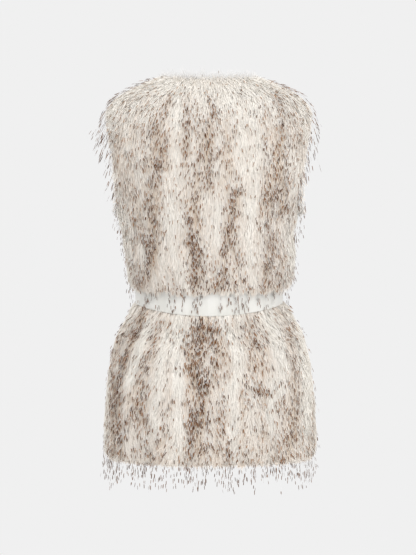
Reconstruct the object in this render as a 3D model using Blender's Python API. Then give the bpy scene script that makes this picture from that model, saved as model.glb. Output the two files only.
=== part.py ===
"""A belted faux fur vest, hollow and held as it is worn. Metres, +Z up, the wearer's front facing -Y.

The origin lies midway between the two points where the neck meets the shoulders, which is where
the wearer carries the vest. The back and the two fronts are walls whose inside is the plain
backing and whose outside is the reach of the pile. Each is lofted through sections of one form,
from the neck down to the hem, and they meet at the shoulders, at the sides and edge to edge down
the middle of the front. The pile is pressed flat under a wide belt, and hangs over its top edge.
Long guard hairs stand past every edge as pointed locks on a narrow strip.
"""

import math
import random

import bmesh
import bpy
import numpy as np

# Sections of the inside of the vest. squareness is the exponent of each half's superellipse.
SECTION_COLUMNS = ("height", "half_width", "back_depth", "front_depth", "squareness")
SECTIONS = (
    (0.014, 0.062, 0.048, 0.034, 2.0),
    (0.003, 0.076, 0.056, 0.042, 2.0),
    (-0.005, 0.090, 0.062, 0.050, 2.0),
    (-0.017, 0.118, 0.070, 0.058, 2.05),
    (-0.031, 0.145, 0.078, 0.067, 2.1),
    (-0.042, 0.161, 0.083, 0.073, 2.15),
    (-0.055, 0.170, 0.087, 0.079, 2.2),
    (-0.090, 0.178, 0.096, 0.093, 2.3),
    (-0.130, 0.177, 0.102, 0.105, 2.3),
    (-0.180, 0.167, 0.103, 0.115, 2.3),
    (-0.225, 0.150, 0.100, 0.118, 2.3),
    (-0.272, 0.137, 0.095, 0.114, 2.25),
    (-0.320, 0.1315, 0.090, 0.106, 2.2),
    (-0.360, 0.1285, 0.086, 0.098, 2.15),
    (-0.3825, 0.1265, 0.084, 0.094, 2.15),
    (-0.405, 0.1285, 0.086, 0.095, 2.15),
    (-0.440, 0.141, 0.095, 0.098, 2.2),
    (-0.480, 0.155, 0.106, 0.102, 2.25),
    (-0.530, 0.166, 0.115, 0.105, 2.3),
    (-0.600, 0.173, 0.120, 0.108, 2.3),
    (-0.660, 0.175, 0.122, 0.109, 2.3),
    (-0.720, 0.174, 0.122, 0.109, 2.3),
)

HEM = -0.690
NECK_EDGE = 0.003
SEAM_GAP = 0.0002
FRONT_GAP = 0.0006
QUARTER_COLUMNS = 16

# The armholes are ovals in the side of the form, from the shoulder tip to the underarm.
SHOULDER_TIP = -0.055
UNDERARM = -0.225
ARMHOLE_SHARE = 0.235

# The front neckline is a V: its half width at the shoulder, and how deep its point lies.
NECK_HALF_WIDTH = 0.071
V_POINT = -0.130

# The belt dips at the back and rises a little at the front.
BELT_HEIGHT = 0.046
BELT_HALF = BELT_HEIGHT / 2
BELT_THICKNESS = 0.003
BELT_CENTRE = -0.3825
BELT_TILT = 0.012
BELT_SAG = 0.006
BELT_CHAMFER = 0.0008
BELT_INSIDE = 0.0075
LAP_STEP = 0.0034
LAP_ROOM = 0.0036
PRESSED_PILE = 0.007
DIP_REACH = 0.16
UPRIGHT_HALF = 0.027
UPRIGHT_EASE = 0.080

# How far the bodice's pile hangs past the top edge of the belt, at the side, and what cosines add.
LIP_SIDE = 0.024
LIP_TILT = 0.003
LIP_BOW = -0.020

PILE = 0.022
SHOULDER_PILE = 0.0165
TUFT_DEPTH = 0.0050
TUFT_LENGTH = 0.058
STRIP_DEPTH = 0.0016

# Soft folds of the cloth, as (waves round the whole vest, depth, height where they are deepest, spread)
FOLDS = ((11, 0.0050, -0.720, 0.150), (9, 0.0022, -0.250, 0.075))

BODICE_ROWS = (
    0.003, -0.005, -0.017, -0.031, -0.044, -0.055, -0.059, -0.068, -0.082, -0.100, -0.120, -0.140,
    -0.160, -0.180, -0.198, -0.212, -0.221, -0.225, -0.243, -0.262, -0.282, -0.302, -0.322, -0.342,
)
SKIRT_ROWS = (
    -0.462, -0.482, -0.501, -0.520, -0.539, -0.558, -0.577, -0.596, -0.615, -0.633, -0.651, -0.667,
    -0.681, -0.690,
)
# Rows round the belt: height above its centre, reach of the pile, and whether the row follows the lip
WAIST_ROWS = (
    (BELT_HALF - LIP_SIDE + 0.014, 0.0235, 1),
    (BELT_HALF - LIP_SIDE + 0.003, 0.0205, 1),
    (BELT_HALF - LIP_SIDE - 0.002, 0.0160, 1),
    (BELT_HALF - LIP_SIDE + 0.001, 0.0122, 1),
    (BELT_HALF + 0.0010, 0.0116, 0),
    (BELT_HALF + 0.0014, PRESSED_PILE, 0),
    (0.0, PRESSED_PILE, 0),
    (-BELT_HALF - 0.0010, PRESSED_PILE, 0),
    (-BELT_HALF - 0.0015, 0.0110, 0),
    (-BELT_HALF - 0.0050, 0.0190, 0),
    (-BELT_HALF - 0.0150, 0.0250, 0),
    (-BELT_HALF - 0.0330, 0.0240, 0),
)
INSIDE_ROWS = (
    0.003, -0.017, -0.031, -0.044, -0.055, -0.059, -0.068, -0.082, -0.100, -0.120, -0.140, -0.160,
    -0.180, -0.198, -0.212, -0.221, -0.225, -0.265, -0.310, -0.3575, -0.4075, -0.450, -0.500,
    -0.565, -0.630, -0.690,
)

# Guard hairs at the edges: locks on a quarter of the hem or lip; the others follow the rows
HEM_LOCKS = 20
LIP_LOCKS = 14
LOCK_ROOT = 0.55
STRIP_THICKNESS = 0.0026
STRIP_HEIGHT = 0.0040
STRIP_GAP = 0.0007
ARMHOLE_HAIR_REACH = 0.0050
NECK_HAIR_REACH = 0.0050

CREAM = (0.80, 0.76, 0.70)
SMOKE = (0.62, 0.55, 0.48)
WHITE_LEATHER = (0.86, 0.87, 0.84)

SECTION_ARRAY = np.array(SECTIONS[::-1])
ARC_SAMPLES = np.linspace(0.0, math.pi / 2, 121)
STEP = 0.0008


def clear_scene():
    for thing in list(bpy.data.objects):
        bpy.data.objects.remove(thing, do_unlink=True)


def form_height(height):
    """The height whose section is used: behind the belt the form stands upright."""
    above = height - BELT_CENTRE
    if abs(above) >= UPRIGHT_EASE:
        return height
    past = max(0.0, abs(above) - UPRIGHT_HALF) * UPRIGHT_EASE / (UPRIGHT_EASE - UPRIGHT_HALF)
    return BELT_CENTRE + math.copysign(past, above)


def section_value(column, height):
    """A column of the section table at a height, by cubic curves through the rows."""
    height = form_height(height)
    heights = SECTION_ARRAY[:, 0]
    values = SECTION_ARRAY[:, SECTION_COLUMNS.index(column)]
    slopes = np.gradient(values, heights)
    height = min(max(height, heights[0]), heights[-1])
    i = min(int(np.searchsorted(heights, height, side="right")) - 1, len(heights) - 2)
    span = heights[i + 1] - heights[i]
    t = (height - heights[i]) / span
    start = (2 * t**3 - 3 * t**2 + 1) * values[i] + (t**3 - 2 * t**2 + t) * span * slopes[i]
    end = (3 * t**2 - 2 * t**3) * values[i + 1] + (t**3 - t**2) * span * slopes[i + 1]
    return start + end


def fold_depth(height, angle):
    """How far the soft folds push the cloth out at a height and an angle round the body."""
    total = 0.0
    for waves, depth, deepest, spread in FOLDS:
        total = total + depth * math.exp(-(((height - deepest) / spread) ** 2)) * np.cos(waves * angle)
    return total


def half_section(half, height):
    """A quarter of the section, from the middle of the back (half 1) or front (half -1) to the side.

    Returns the share of the arc, x and y of its samples, the folds among them.
    """
    power = 2.0 / section_value("squareness", height)
    depth = section_value("back_depth" if half > 0 else "front_depth", height)
    x = section_value("half_width", height) * np.sin(ARC_SAMPLES) ** power
    y = half * depth * np.cos(ARC_SAMPLES) ** power
    y[-1] = 0.0
    angle = np.arctan2(x, y)
    push = 1.0 + fold_depth(height, angle) / np.hypot(x, y)
    x, y = x * push, y * push
    length = np.concatenate([[0.0], np.cumsum(np.hypot(np.diff(x), np.diff(y)))])
    return length / length[-1], x, y, length[-1]


def dip(half, share):
    """How far the waist is shifted up or down at a share of the quarter arc."""
    c = half * np.cos(np.clip(share, 0.0, 1.0) * math.pi / 2)
    return -BELT_TILT * c - BELT_SAG * c**2


def dip_weight(height):
    """1 at the belt, easing to 0 above and below it."""
    away = max(0.0, abs(height - BELT_CENTRE) - BELT_HALF - 0.035)
    t = min(1.0, away / (DIP_REACH - 0.03))
    return 1.0 - t * t * (3.0 - 2.0 * t)


def curve(half, height, share):
    """Points of the inside at a height; shares past 0 or 1 carry on round the middle or the side."""
    shares, x, y, _ = half_section(half, height)
    share = np.asarray(share, float)
    over = share > 1.0
    under = share < 0.0
    folded = np.where(over, 2.0 - share, np.abs(share))
    px = np.interp(folded, shares, x) * np.where(under, -1.0, 1.0)
    py = np.interp(folded, shares, y) * np.where(over, -1.0, 1.0)
    pz = height + dip(half, folded) * dip_weight(height)
    return np.stack([px, py, pz], axis=-1)


def upright(height):
    """True near the belt, where the pile is measured straight out and not along the slope."""
    return BELT_CENTRE - 0.085 < height < BELT_CENTRE + 0.065


def surface(half, height, share):
    """Points of the inside and the unit normals that point out of it, at shares of a quarter."""
    share = np.asarray(share, float)
    point = curve(half, height, share)
    across = curve(half, height, share + STEP) - curve(half, height, share - STEP)
    up = curve(half, height + STEP, share) - curve(half, height - STEP, share)
    if upright(height):
        up = np.zeros_like(up) + (0.0, 0.0, 1.0)
        across[..., 2] = 0.0
    normal = np.cross(up, across) * half
    normal[..., 1] = np.where(share >= 1.0 - 1e-9, 0.0, normal[..., 1])
    return point, normal / np.linalg.norm(normal, axis=-1, keepdims=True)


def armhole_edge(height):
    """The share of the quarter arc at which the armhole's oval ends the cloth."""
    middle = (SHOULDER_TIP + UNDERARM) / 2
    half_height = (SHOULDER_TIP - UNDERARM) / 2
    t = (height - middle) / half_height
    return 1.0 - ARMHOLE_SHARE * math.sqrt(max(0.0, 1.0 - t * t))


def neckline_edge(height):
    """The share of the front's quarter arc at which the V or the front edge ends the cloth."""
    depth = min(1.0, max(0.0, (NECK_EDGE - height) / (NECK_EDGE - V_POINT)))
    half_width = max(FRONT_GAP, NECK_HALF_WIDTH * (1.0 - depth**1.15))
    shares, x, _, _ = half_section(-1, height)
    return float(np.interp(half_width, x, shares))


def back_shares(height):
    """Shares of the back's columns: even ones, drawn in towards the armholes beside them."""
    even = np.linspace(-1.0, 1.0, 2 * QUARTER_COLUMNS + 1)
    return even * (1.0 - (1.0 - armhole_edge(height)) * np.abs(even))


def front_shares(height):
    even = np.linspace(0.0, 1.0, QUARTER_COLUMNS + 1)
    start = neckline_edge(height)
    span = 1.0 - start
    drawn_in = (1.0 - armhole_edge(height)) / span
    return start + span * even * (1.0 - drawn_in * even)


def lip_overhang(half, share):
    c = half * np.cos(np.clip(share, 0.0, 1.0) * math.pi / 2)
    return LIP_SIDE + LIP_TILT * c + LIP_BOW * c**2


def lap_room(half, share):
    """Room for the second layer of the belt, where its ends lap at the front."""
    if half > 0:
        return np.zeros_like(share)
    t = np.clip((np.cos(np.clip(share, 0.0, 1.0) * math.pi / 2) - 0.70) / 0.15, 0.0, 1.0)
    return LAP_ROOM * t * t * (3.0 - 2.0 * t)


def signed(half, height, shares, offset, raised=0.0):
    """Points at shares of -1 to 1 round a half, pushed out by offset along the normals."""
    point, normal = surface(half, height, np.abs(shares))
    moved = point + normal * np.asarray(offset)[..., None]
    moved[..., 2] += raised
    moved[..., 0] *= np.where(shares < 0, -1.0, 1.0)
    return moved


def pile_reach(height):
    """The plain reach of the pile: shorter over the shoulders, where it lies flat."""
    t = min(1.0, max(0.0, (-height - 0.02) / 0.09))
    return SHOULDER_PILE + (PILE - SHOULDER_PILE) * t


def pile_offsets(height, shares, half, open_columns, drops):
    """The reach of the pile along one row: furrowed strips of staggered tufts, rounded open edges.

    Every second column is a furrow. On the ridges between them each tuft grows from its top to
    its lower end and then falls back; drops shifts the tufts of each ridge up or down.
    """
    count = len(shares)
    _, _, _, arc = half_section(half, height)
    spacing = arc * abs(shares[-1] - shares[0]) / (count - 1)
    near_tip = min(abs(height - SHOULDER_TIP), abs(height - UNDERARM))
    relief_scale = min(1.0, spacing / 0.009) * min(1.0, 0.15 + near_tip / 0.035)
    columns = np.arange(count)
    ridge = np.where(columns % 2 == 1, 1.0, -1.0)
    grown = np.mod(-height / TUFT_LENGTH + drops, 1.0)
    tuft = np.where(grown < 0.75, grown / 0.75, (1.0 - grown) / 0.25)
    relief = STRIP_DEPTH * ridge + TUFT_DEPTH * (tuft - 0.5) * (0.6 + 0.4 * ridge)
    offset = pile_reach(height) + relief * relief_scale
    for column, share in open_columns:
        offset[column] *= share
    if height >= NECK_EDGE:
        offset = offset * 0.0 + 0.60 * SHOULDER_PILE
    if height <= HEM:
        offset = offset * 0.0 + 0.52 * PILE
    elif height < HEM + 0.012:
        offset = offset * 0.90
    return offset


def outer_rows(half, shares_at, open_at, seed):
    """The outside of a panel as an array of rows by columns, from the neck to the hem."""
    rng = random.Random(seed)
    drops = np.array([rng.random() for _ in shares_at(HEM)])
    rows = []
    for height in BODICE_ROWS:
        shares = shares_at(height)
        offset = pile_offsets(height, shares, half, open_at(height), drops)
        rows.append(signed(half, height, shares, offset))
    for above, reach, follows_lip in WAIST_ROWS:
        height = BELT_CENTRE + above
        shares = shares_at(height)
        distance = np.abs(shares)
        room = lap_room(half, distance) if 0.011 < reach < 0.021 and above > -BELT_HALF else 0.0
        lift = (LIP_SIDE - lip_overhang(half, distance)) * follows_lip
        rows.append(signed(half, height, shares, reach + room + 0.0 * distance, lift))
    for height in SKIRT_ROWS:
        shares = shares_at(height)
        offset = pile_offsets(height, shares, half, open_at(height), drops)
        rows.append(signed(half, height, shares, offset))
    return np.array(rows)


def inner_rows(half, shares_at):
    rows = [signed(half, height, shares_at(height), np.zeros(1)) for height in INSIDE_ROWS]
    return np.array(rows)


def nearest_inside_rows():
    """For each row of the outside, the row of the inside that a closing edge joins it to."""
    heights = [*BODICE_ROWS, *(BELT_CENTRE + above for above, _, _ in WAIST_ROWS), *SKIRT_ROWS]
    found = []
    for height in heights:
        nearest = min(range(len(INSIDE_ROWS)), key=lambda i: abs(INSIDE_ROWS[i] - height))
        found.append(max(nearest, found[-1] if found else 0))
    found[0] = 0
    found[-1] = len(INSIDE_ROWS) - 1
    return found


def new_object(name, mesh, material, smooth=True):
    thing = bpy.data.objects.new(name, mesh)
    bpy.data.collections["fur_vest"].objects.link(thing)
    mesh.materials.append(material)
    if smooth:
        mesh.shade_smooth()
        mesh.set_sharp_from_angle(angle=math.radians(65))
    return thing


def finish_mesh(name, points, faces):
    """A mesh of these points and faces, with its faces turned outwards."""
    mesh = bpy.data.meshes.new(name)
    mesh.from_pydata([tuple(p) for p in points], [], faces)
    shape = bmesh.new()
    shape.from_mesh(mesh)
    bmesh.ops.recalc_face_normals(shape, faces=shape.faces)
    shape.to_mesh(mesh)
    shape.free()
    return mesh


def wall(name, outside, inside, material):
    """A closed wall between two grids that share their columns but not their rows."""
    out_rows, columns = outside.shape[:2]
    in_rows = inside.shape[0]
    first_inside = out_rows * columns

    def outer(row, column):
        return row * columns + column

    def inner(row, column):
        return first_inside + row * columns + column

    faces = []
    for c in range(columns - 1):
        for r in range(out_rows - 1):
            faces.append((outer(r, c), outer(r + 1, c), outer(r + 1, c + 1), outer(r, c + 1)))
        for r in range(in_rows - 1):
            faces.append((inner(r, c), inner(r, c + 1), inner(r + 1, c + 1), inner(r + 1, c)))
        faces.append((outer(0, c), outer(0, c + 1), inner(0, c + 1), inner(0, c)))
        last, bottom = out_rows - 1, in_rows - 1
        faces.append((outer(last, c), inner(bottom, c), inner(bottom, c + 1), outer(last, c + 1)))
    partner = nearest_inside_rows()
    first_waist = len(BODICE_ROWS) - 1
    last_waist = first_waist + len(WAIST_ROWS) + 1
    for c in (0, columns - 1):
        waist = [outer(r, c) for r in range(first_waist, last_waist + 1)]
        behind = [inner(r, c) for r in range(partner[first_waist], partner[last_waist] + 1)]
        faces.append((*waist, *reversed(behind)))
        for r in (*range(first_waist), *range(last_waist, out_rows - 1)):
            a, b = partner[r], partner[r + 1]
            for step in range(a, b):
                faces.append((outer(r, c), inner(step, c), inner(step + 1, c)))
            faces.append((outer(r, c), outer(r + 1, c), inner(b, c)))
    points = np.concatenate([outside.reshape(-1, 3), inside.reshape(-1, 3)])
    return new_object(name, finish_mesh(name, points, faces), material)


def make_back(material):
    def open_edges(height):
        in_armhole = UNDERARM + 1e-6 < height < SHOULDER_TIP - 1e-6
        last = 2 * QUARTER_COLUMNS
        return ((0, 0.60), (last, 0.60), (1, 0.92), (last - 1, 0.92)) if in_armhole else ()

    outside = outer_rows(1, back_shares, open_edges, seed=3)
    inside = inner_rows(1, back_shares)
    for grid in (outside, inside):
        grid[..., 1] = np.maximum(grid[..., 1], SEAM_GAP)
    return wall("back_panel", outside, inside, material)


def lower_rows(heights):
    """Which of these rows lie below the point of the V, where the fronts meet edge to edge."""
    return [i for i, height in enumerate(heights) if height < V_POINT]


def make_front(name, side, material):
    """side is 1 for the wearer's left, which lies at +X, and -1 for the right."""

    def open_edges(height):
        last = QUARTER_COLUMNS
        found = []
        if UNDERARM + 1e-6 < height < SHOULDER_TIP - 1e-6:
            found += [(last, 0.60), (last - 1, 0.92)]
        found += [(0, 0.60), (1, 0.92)] if height > V_POINT else [(0, 0.80), (1, 0.97)]
        return tuple(found)

    outside = outer_rows(-1, front_shares, open_edges, seed=7 if side > 0 else 11)
    inside = inner_rows(-1, front_shares)
    for grid in (outside, inside):
        grid[..., 1] = np.minimum(grid[..., 1], -SEAM_GAP)
        grid[..., 0] = np.maximum(grid[..., 0], FRONT_GAP)
    outside[lower_rows(BODICE_ROWS), 0, 0] = FRONT_GAP
    outside[len(BODICE_ROWS):, 0, 0] = FRONT_GAP
    inside[lower_rows(INSIDE_ROWS), 0, 0] = FRONT_GAP
    for grid in (outside, inside):
        grid[..., 0] *= side
    return wall(name, outside, inside, material)


def belt_stations():
    """Where the belt runs: (half, share, side, reach, share of its height), end to end.

    It starts under the lap at the wearer's left of the middle of the front, goes round by the
    right side and the back, and ends in a rounded tip on the right of the middle.
    """
    n = QUARTER_COLUMNS
    stations = [(-1, k / n, 1, BELT_INSIDE, 1.0) for k in range(3, 0, -1)]
    stations += [(-1, k / n, -1, BELT_INSIDE, 1.0) for k in range(0, n)]
    stations += [(1, k / n, -1, BELT_INSIDE, 1.0) for k in range(n, 0, -1)]
    stations += [(1, k / n, 1, BELT_INSIDE, 1.0) for k in range(0, n)]
    for k in range(n, 0, -1):
        climb = min(1.0, max(0.0, (6.5 - k) / 2.5))
        reach = BELT_INSIDE + LAP_STEP * climb * climb * (3.0 - 2.0 * climb)
        stations.append((-1, k / n, 1, reach, 1.0))
    lapped = BELT_INSIDE + LAP_STEP
    stations += [(-1, k / n, -1, lapped, 1.0) for k in range(0, 4)]
    tip_shape = ((3.6, 0.97), (4.1, 0.84), (4.5, 0.64), (4.75, 0.42), (4.85, 0.18))
    stations += [(-1, k / n, -1, lapped, height) for k, height in tip_shape]
    return stations


def make_belt(material):
    outer = BELT_THICKNESS
    soft = BELT_THICKNESS - BELT_CHAMFER
    points = []
    for half, share, side, reach, tall in belt_stations():
        point, normal = surface(half, BELT_CENTRE, np.array([share]))
        tall = BELT_HALF * tall
        profile = (
            (0.0, -tall), (soft, -tall), (outer, -tall + BELT_CHAMFER),
            (outer, tall - BELT_CHAMFER), (soft, tall), (0.0, tall),
        )
        for out, up in profile:
            corner = point[0] + normal[0] * (reach + out)
            corner[2] = point[0][2] + up
            corner[0] *= side
            points.append(corner)
    ring = 6
    count = len(points) // ring
    faces = []
    for k in range(count - 1):
        for i in range(ring):
            j = (i + 1) % ring
            faces.append((k * ring + i, k * ring + j, (k + 1) * ring + j, (k + 1) * ring + i))
    faces.append(tuple(range(ring)))
    faces.append(tuple((count - 1) * ring + i for i in reversed(range(ring))))
    return new_object("waist_belt", finish_mesh("waist_belt", points, faces), material)


def lock_strip(name, centres, normals, ways, tips, closed, material):
    """A narrow strip whose side facing ways carries slim pointed locks, four sided.

    centres, normals and ways have a row for each station. Every second segment of the strip
    carries a lock, and tips holds for each the way from the middle of its root to its point.
    """
    half_thick, half_high = STRIP_THICKNESS / 2, STRIP_HEIGHT / 2
    corners = ((-1, -1), (1, -1), (1, 1), (-1, 1))
    points = []
    for centre, normal, way in zip(centres, normals, ways):
        for out, along in corners:
            points.append(centre + normal * half_thick * out + way * half_high * along)
    stations = len(centres)
    faces = []
    segments = stations if closed else stations - 1
    for k in range(segments):
        a, b = k * 4, ((k + 1) % stations) * 4
        faces += [(a, a + 1, b + 1, b), (a + 1, a + 2, b + 2, b + 1), (a + 3, a, b, b + 3)]
        root = (a + 3, a + 2, b + 2, b + 3)
        if k % 2 == 1:
            faces.append(root)
            continue
        middle = np.mean([points[i] for i in root], axis=0)
        points.append(middle + tips[k // 2])
        faces += [(root[i], root[(i + 1) % 4], len(points) - 1) for i in range(4)]
    if not closed:
        last = (stations - 1) * 4
        faces += [(0, 1, 2, 3), (last + 3, last + 2, last + 1, last)]
    return new_object(name, finish_mesh(name, points, faces), material, smooth=False)


def lock_shares(first, last, count):
    """The shares of the two ends of each lock's root along a strip."""
    pitch = (last - first) / (count - 1 + LOCK_ROOT)
    starts = first + pitch * np.arange(count)
    return np.sort(np.concatenate([starts, starts + pitch * LOCK_ROOT]))[:: 1 if last > first else -1]


def edge_panels():
    """The three panels as (name, half, first share, last share, number of quarters)."""
    gap = 0.004
    return (
        ("back", 1, -1.0 + gap, 1.0 - gap, 2),
        ("left", -1, 1.0 - gap, gap, 1),
        ("right", -1, -gap, -1.0 + gap, 1),
    )


def hanging_strip(name, half, shares, height, reach, top, lengths, leans, material):
    """A strip of locks that hangs down along a run of shares of one half.

    leans holds for each lock how far it swings along the strip and outwards, as shares of it.
    """
    point, normal = surface(half, height, np.abs(shares))
    normal[..., 2] = 0.0
    normal /= np.linalg.norm(normal, axis=-1, keepdims=True)
    mirror = np.where(shares < 0, -1.0, 1.0)
    centres = point + normal * np.asarray(reach)[..., None]
    centres[..., 2] = point[..., 2] + top - STRIP_HEIGHT / 2
    centres[..., 0] *= mirror
    normal[..., 0] *= mirror
    ways = np.zeros_like(centres) + (0.0, 0.0, -1.0)
    tips = []
    for k, (sideways, outwards) in enumerate(leans):
        run = centres[2 * k + 1] - centres[2 * k]
        run = run / np.linalg.norm(run)
        tips.append((ways[2 * k] + run * sideways + normal[2 * k] * outwards) * lengths[k])
    return lock_strip(name, centres, normal, ways, tips, False, material)


def make_hem_hair(material):
    rng = random.Random(21)
    for panel, half, first, last, quarters in edge_panels():
        count = HEM_LOCKS * quarters
        shares = lock_shares(first, last, count)
        lengths = [0.024 + 0.027 * rng.random() ** 0.8 for _ in range(count)]
        leans = [(0.16 * math.sin(0.8 * k), rng.uniform(-0.05, 0.12)) for k in range(count)]
        reach = 0.0058 + 0.0 * shares
        hanging_strip(f"hem_hair_{panel}", half, shares, HEM, reach, -0.0009, lengths, leans, material)


def make_lip_hair(material):
    """Hair that hangs from the bodice's lower edge over the belt."""
    rng = random.Random(22)
    for panel, half, first, last, quarters in edge_panels():
        count = LIP_LOCKS * quarters
        shares = lock_shares(first, last, count)
        overhang = lip_overhang(half, np.abs(shares))
        top = BELT_HALF - overhang - 0.0026
        reach = 0.0157 + lap_room(half, np.abs(shares))
        room = BELT_HALF * 2 - overhang - 0.0026 - STRIP_HEIGHT - 0.001
        lengths = [float(room[2 * k]) * rng.uniform(0.35, 0.95) for k in range(count)]
        leans = [(0.14 * math.sin(0.9 * k), rng.uniform(0.0, 0.10)) for k in range(count)]
        name = f"waist_hair_{panel}"
        hanging_strip(name, half, shares, BELT_CENTRE, reach, top, lengths, leans, material)


def between(a, b, share):
    return a + (b - a) * share


def strip_off_edge(points, normals, closed, inset):
    """The stations of a strip of locks beside an edge, and their normals and ways off it.

    A lock's root takes the middle of each stretch of the edge, and the strip runs on past its
    corners.
    """
    count = len(points)
    centres, outs, ways = [], [], []
    for k in range(count if closed else count - 1):
        after = (k + 1) % count
        for share in ((1.0 - LOCK_ROOT) / 2, (1.0 + LOCK_ROOT) / 2):
            normal = between(normals[k], normals[after], share)
            normal = normal / np.linalg.norm(normal)
            way = np.cross(points[after] - points[k], normal)
            way = way / np.linalg.norm(way)
            centres.append(between(points[k], points[after], share) + way * inset)
            outs.append(normal)
            ways.append(way)
    return np.array(centres), np.array(outs), np.array(ways)


def make_armhole_hair(name, side, material):
    """A ring of locks round an armhole, pointing out from it and down."""
    rng = random.Random(23 if side > 0 else 24)
    heights = [height for height in BODICE_ROWS if UNDERARM - 1e-6 < height < SHOULDER_TIP + 1e-6]
    stations = [(1, height) for height in heights[:-1]]
    stations += [(-1, height) for height in heights[:0:-1]]
    points, normals = [], []
    for half, height in stations:
        point, normal = surface(half, height, np.array([armhole_edge(height)]))
        points.append(point[0] + normal[0] * ARMHOLE_HAIR_REACH)
        normals.append(normal[0])
    inset = STRIP_HEIGHT / 2 + STRIP_GAP
    centres, outs, ways = strip_off_edge(np.array(points), np.array(normals), True, inset)
    tips = []
    for way, out in zip(ways[::2], outs[::2]):
        aim = way * 0.60 + out * 0.70 + (0.25, 0.0, -0.30)
        tips.append(aim / np.linalg.norm(aim) * (0.013 + 0.012 * rng.random()))
    mirror = np.array([side, 1.0, 1.0])
    mirrored = [grid * mirror for grid in (centres, outs, ways, np.array(tips))]
    return lock_strip(name, *mirrored, True, material)


def make_neck_hair(material):
    """Short locks that stand up along the back of the neck and over both shoulders."""
    rng = random.Random(25)
    front_edge = neckline_edge(NECK_EDGE) + 0.06
    n = QUARTER_COLUMNS
    quarter = [(1, k / n) for k in range(0, n)]
    quarter += [(-1, 1.0 - k / n) for k in range(0, int(n * (1.0 - front_edge)) + 1)]
    stations = [(half, -share) for half, share in reversed(quarter[1:])] + quarter
    points, normals = [], []
    for half, share in stations:
        point, normal = surface(half, NECK_EDGE, np.array([abs(share)]))
        mirror = np.array([-1.0 if share < 0 else 1.0, 1.0, 1.0])
        points.append((point[0] + normal[0] * NECK_HAIR_REACH) * mirror)
        normals.append(normal[0] * mirror)
    inset = STRIP_HEIGHT / 2 + STRIP_GAP
    centres, outs, ways = strip_off_edge(np.array(points), np.array(normals), False, inset)
    tips = []
    for k, (way, out) in enumerate(zip(ways[::2], outs[::2])):
        run = centres[2 * k + 1] - centres[2 * k]
        run = run / np.linalg.norm(run)
        aim = way + out * 0.40 + run * 0.15 * math.sin(0.9 * k)
        tips.append(aim * (0.008 + 0.005 * rng.random()))
    return lock_strip("neck_hair", centres, outs, ways, tips, False, material)


def make_material(name, colour, roughness):
    material = bpy.data.materials.new(name)
    material.use_nodes = True
    shader = material.node_tree.nodes["Principled BSDF"]
    shader.inputs["Base Color"].default_value = (*colour, 1.0)
    shader.inputs["Roughness"].default_value = roughness
    shader.inputs["Metallic"].default_value = 0.0
    return material


def main():
    clear_scene()
    collection = bpy.data.collections.new("fur_vest")
    bpy.context.scene.collection.children.link(collection)
    fur = make_material("cream_fur", CREAM, 0.95)
    guard_hair = make_material("brown_tipped_hair", SMOKE, 0.90)
    leather = make_material("white_leather", WHITE_LEATHER, 0.45)
    make_back(fur)
    make_front("front_panel_left", 1, fur)
    make_front("front_panel_right", -1, fur)
    make_belt(leather)
    make_hem_hair(guard_hair)
    make_lip_hair(guard_hair)
    make_armhole_hair("armhole_hair_left", 1, guard_hair)
    make_armhole_hair("armhole_hair_right", -1, guard_hair)
    make_neck_hair(guard_hair)


main()
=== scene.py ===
"""Looks of a belted faux fur vest: thin cloth shells, strand by strand fur, and a smooth leather belt.

Everything lies on one form, the inside of the vest, which is a surface of two parameters. turn runs
round the body in quarters: 0 is the middle of the back, 1 the wearer's left side, 2 the middle of the
front and 3 the right side. height is the level of the section that is used. A third number, out, is
the distance off that surface, so a hair is a path in turn, height and out. Metres, +Z up.
"""

import math
from collections import namedtuple
from types import SimpleNamespace

import bpy
import numpy as np
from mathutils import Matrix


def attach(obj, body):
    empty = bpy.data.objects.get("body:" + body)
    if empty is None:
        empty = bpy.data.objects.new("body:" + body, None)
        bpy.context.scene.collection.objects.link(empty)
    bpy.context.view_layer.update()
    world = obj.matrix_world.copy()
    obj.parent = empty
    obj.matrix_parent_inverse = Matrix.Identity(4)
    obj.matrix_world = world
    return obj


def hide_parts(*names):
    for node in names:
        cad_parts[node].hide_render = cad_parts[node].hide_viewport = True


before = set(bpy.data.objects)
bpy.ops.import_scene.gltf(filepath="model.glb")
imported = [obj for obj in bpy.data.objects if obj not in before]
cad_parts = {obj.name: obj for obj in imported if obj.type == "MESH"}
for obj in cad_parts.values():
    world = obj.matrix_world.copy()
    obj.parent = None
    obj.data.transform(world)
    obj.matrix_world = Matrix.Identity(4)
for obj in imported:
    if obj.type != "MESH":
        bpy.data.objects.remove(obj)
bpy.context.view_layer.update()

ACROSS = np.array([1.0, 0.0, 0.0])
DOWN = np.array([0.0, 0.0, -1.0])

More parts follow.
